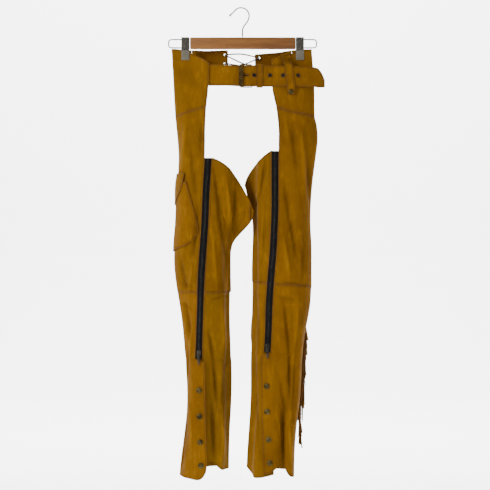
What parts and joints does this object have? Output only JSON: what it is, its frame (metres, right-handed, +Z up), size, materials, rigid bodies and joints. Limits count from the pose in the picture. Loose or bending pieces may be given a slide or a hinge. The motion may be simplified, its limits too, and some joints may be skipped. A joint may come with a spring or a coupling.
{
  "type": "leather chaps on a clip hanger",
  "caption": "Full-length suede riding chaps with leg zips, snap plackets, outer fringe, a belt and a laced back waist, hung by the waist from a wooden clip hanger.",
  "frame": {"origin": "inner top of the hanger's hook, where a rail bears on it", "axes": "+Z up, -Y towards the garment's front, +X towards the wearer's left leg"},
  "size_m": [0.3858, 0.1223, 1.1611],
  "materials": {
    "suede": "mustard ochre suede, matt, with a soft nap and worn edges",
    "belt_leather": "the same suede cut as straps, smoother where it is handled",
    "lace": "thin dark leather lace",
    "zip_tape": "black woven tape with a dark chain",
    "zip_metal": "dark antique brass",
    "snap_brass": "dark antique brass caps and rings",
    "buckle_metal": "dark worn brass",
    "wood": "varnished light brown wood",
    "clip_metal": "grey beige sheet metal",
    "hook_wire": "grey nickel plated wire"
  },
  "bodies": {
    "chaps": {"belt": "belt_leather", "belt_eyelet_1": "snap_brass", "belt_eyelet_2": "snap_brass", "belt_eyelet_3": "snap_brass", "belt_eyelet_4": "snap_brass", "buckle": "buckle_metal", "buckle_strap": "belt_leather", "clip_left": "clip_metal", "clip_right": "clip_metal", "hanger_bar": "wood", "hanger_wire_left": "hook_wire", "hanger_wire_right": "hook_wire", "hook": "hook_wire", "keeper": "belt_leather", "lace": "lace", "lace_eyelet_1": "snap_brass", "lace_eyelet_2": "snap_brass", "lace_eyelet_3": "snap_brass", "lace_eyelet_4": "snap_brass", "lace_eyelet_5": "snap_brass", "left_back_band": "suede", "left_fringe": "suede", "left_shin_inner": "suede", "left_shin_outer": "suede", "left_slider": "zip_metal", "left_snap_1": "snap_brass", "left_snap_2": "snap_brass", "left_snap_3": "snap_brass", "left_snap_4": "snap_brass", "left_thigh_inner": "suede", "left_thigh_outer": "suede", "left_yoke": "suede", "left_zip": "zip_tape", "prong": "buckle_metal", "right_back_band": "suede", "right_fringe": "suede", "right_pocket": "suede", "right_pocket_flap": "suede", "right_shin_inner": "suede", "right_shin_outer": "suede", "right_slider": "zip_metal", "right_snap_1": "snap_brass", "right_snap_2": "snap_brass", "right_snap_3": "snap_brass", "right_snap_4": "snap_brass", "right_thigh_inner": "suede", "right_thigh_outer": "suede", "right_yoke": "suede", "right_zip": "zip_tape", "snap_loop": "belt_leather", "snap_loop_snap": "snap_brass"},
    "right_pull": {"right_pull": "zip_metal"},
    "left_pull": {"left_pull": "zip_metal"}
  },
  "joints": [
    {"name": "left_pull_swing", "type": "hinge", "parent": "chaps", "child": "left_pull", "pos_m": [0.06458, -0.05119, -0.8356], "axis": [-1, 0, 0], "range_deg": [0, 150]},
    {"name": "right_pull_swing", "type": "hinge", "parent": "chaps", "child": "right_pull", "pos_m": [-0.10334, -0.05151, -0.8516], "axis": [-1, 0, 0], "range_deg": [0, 150]}
  ]
}
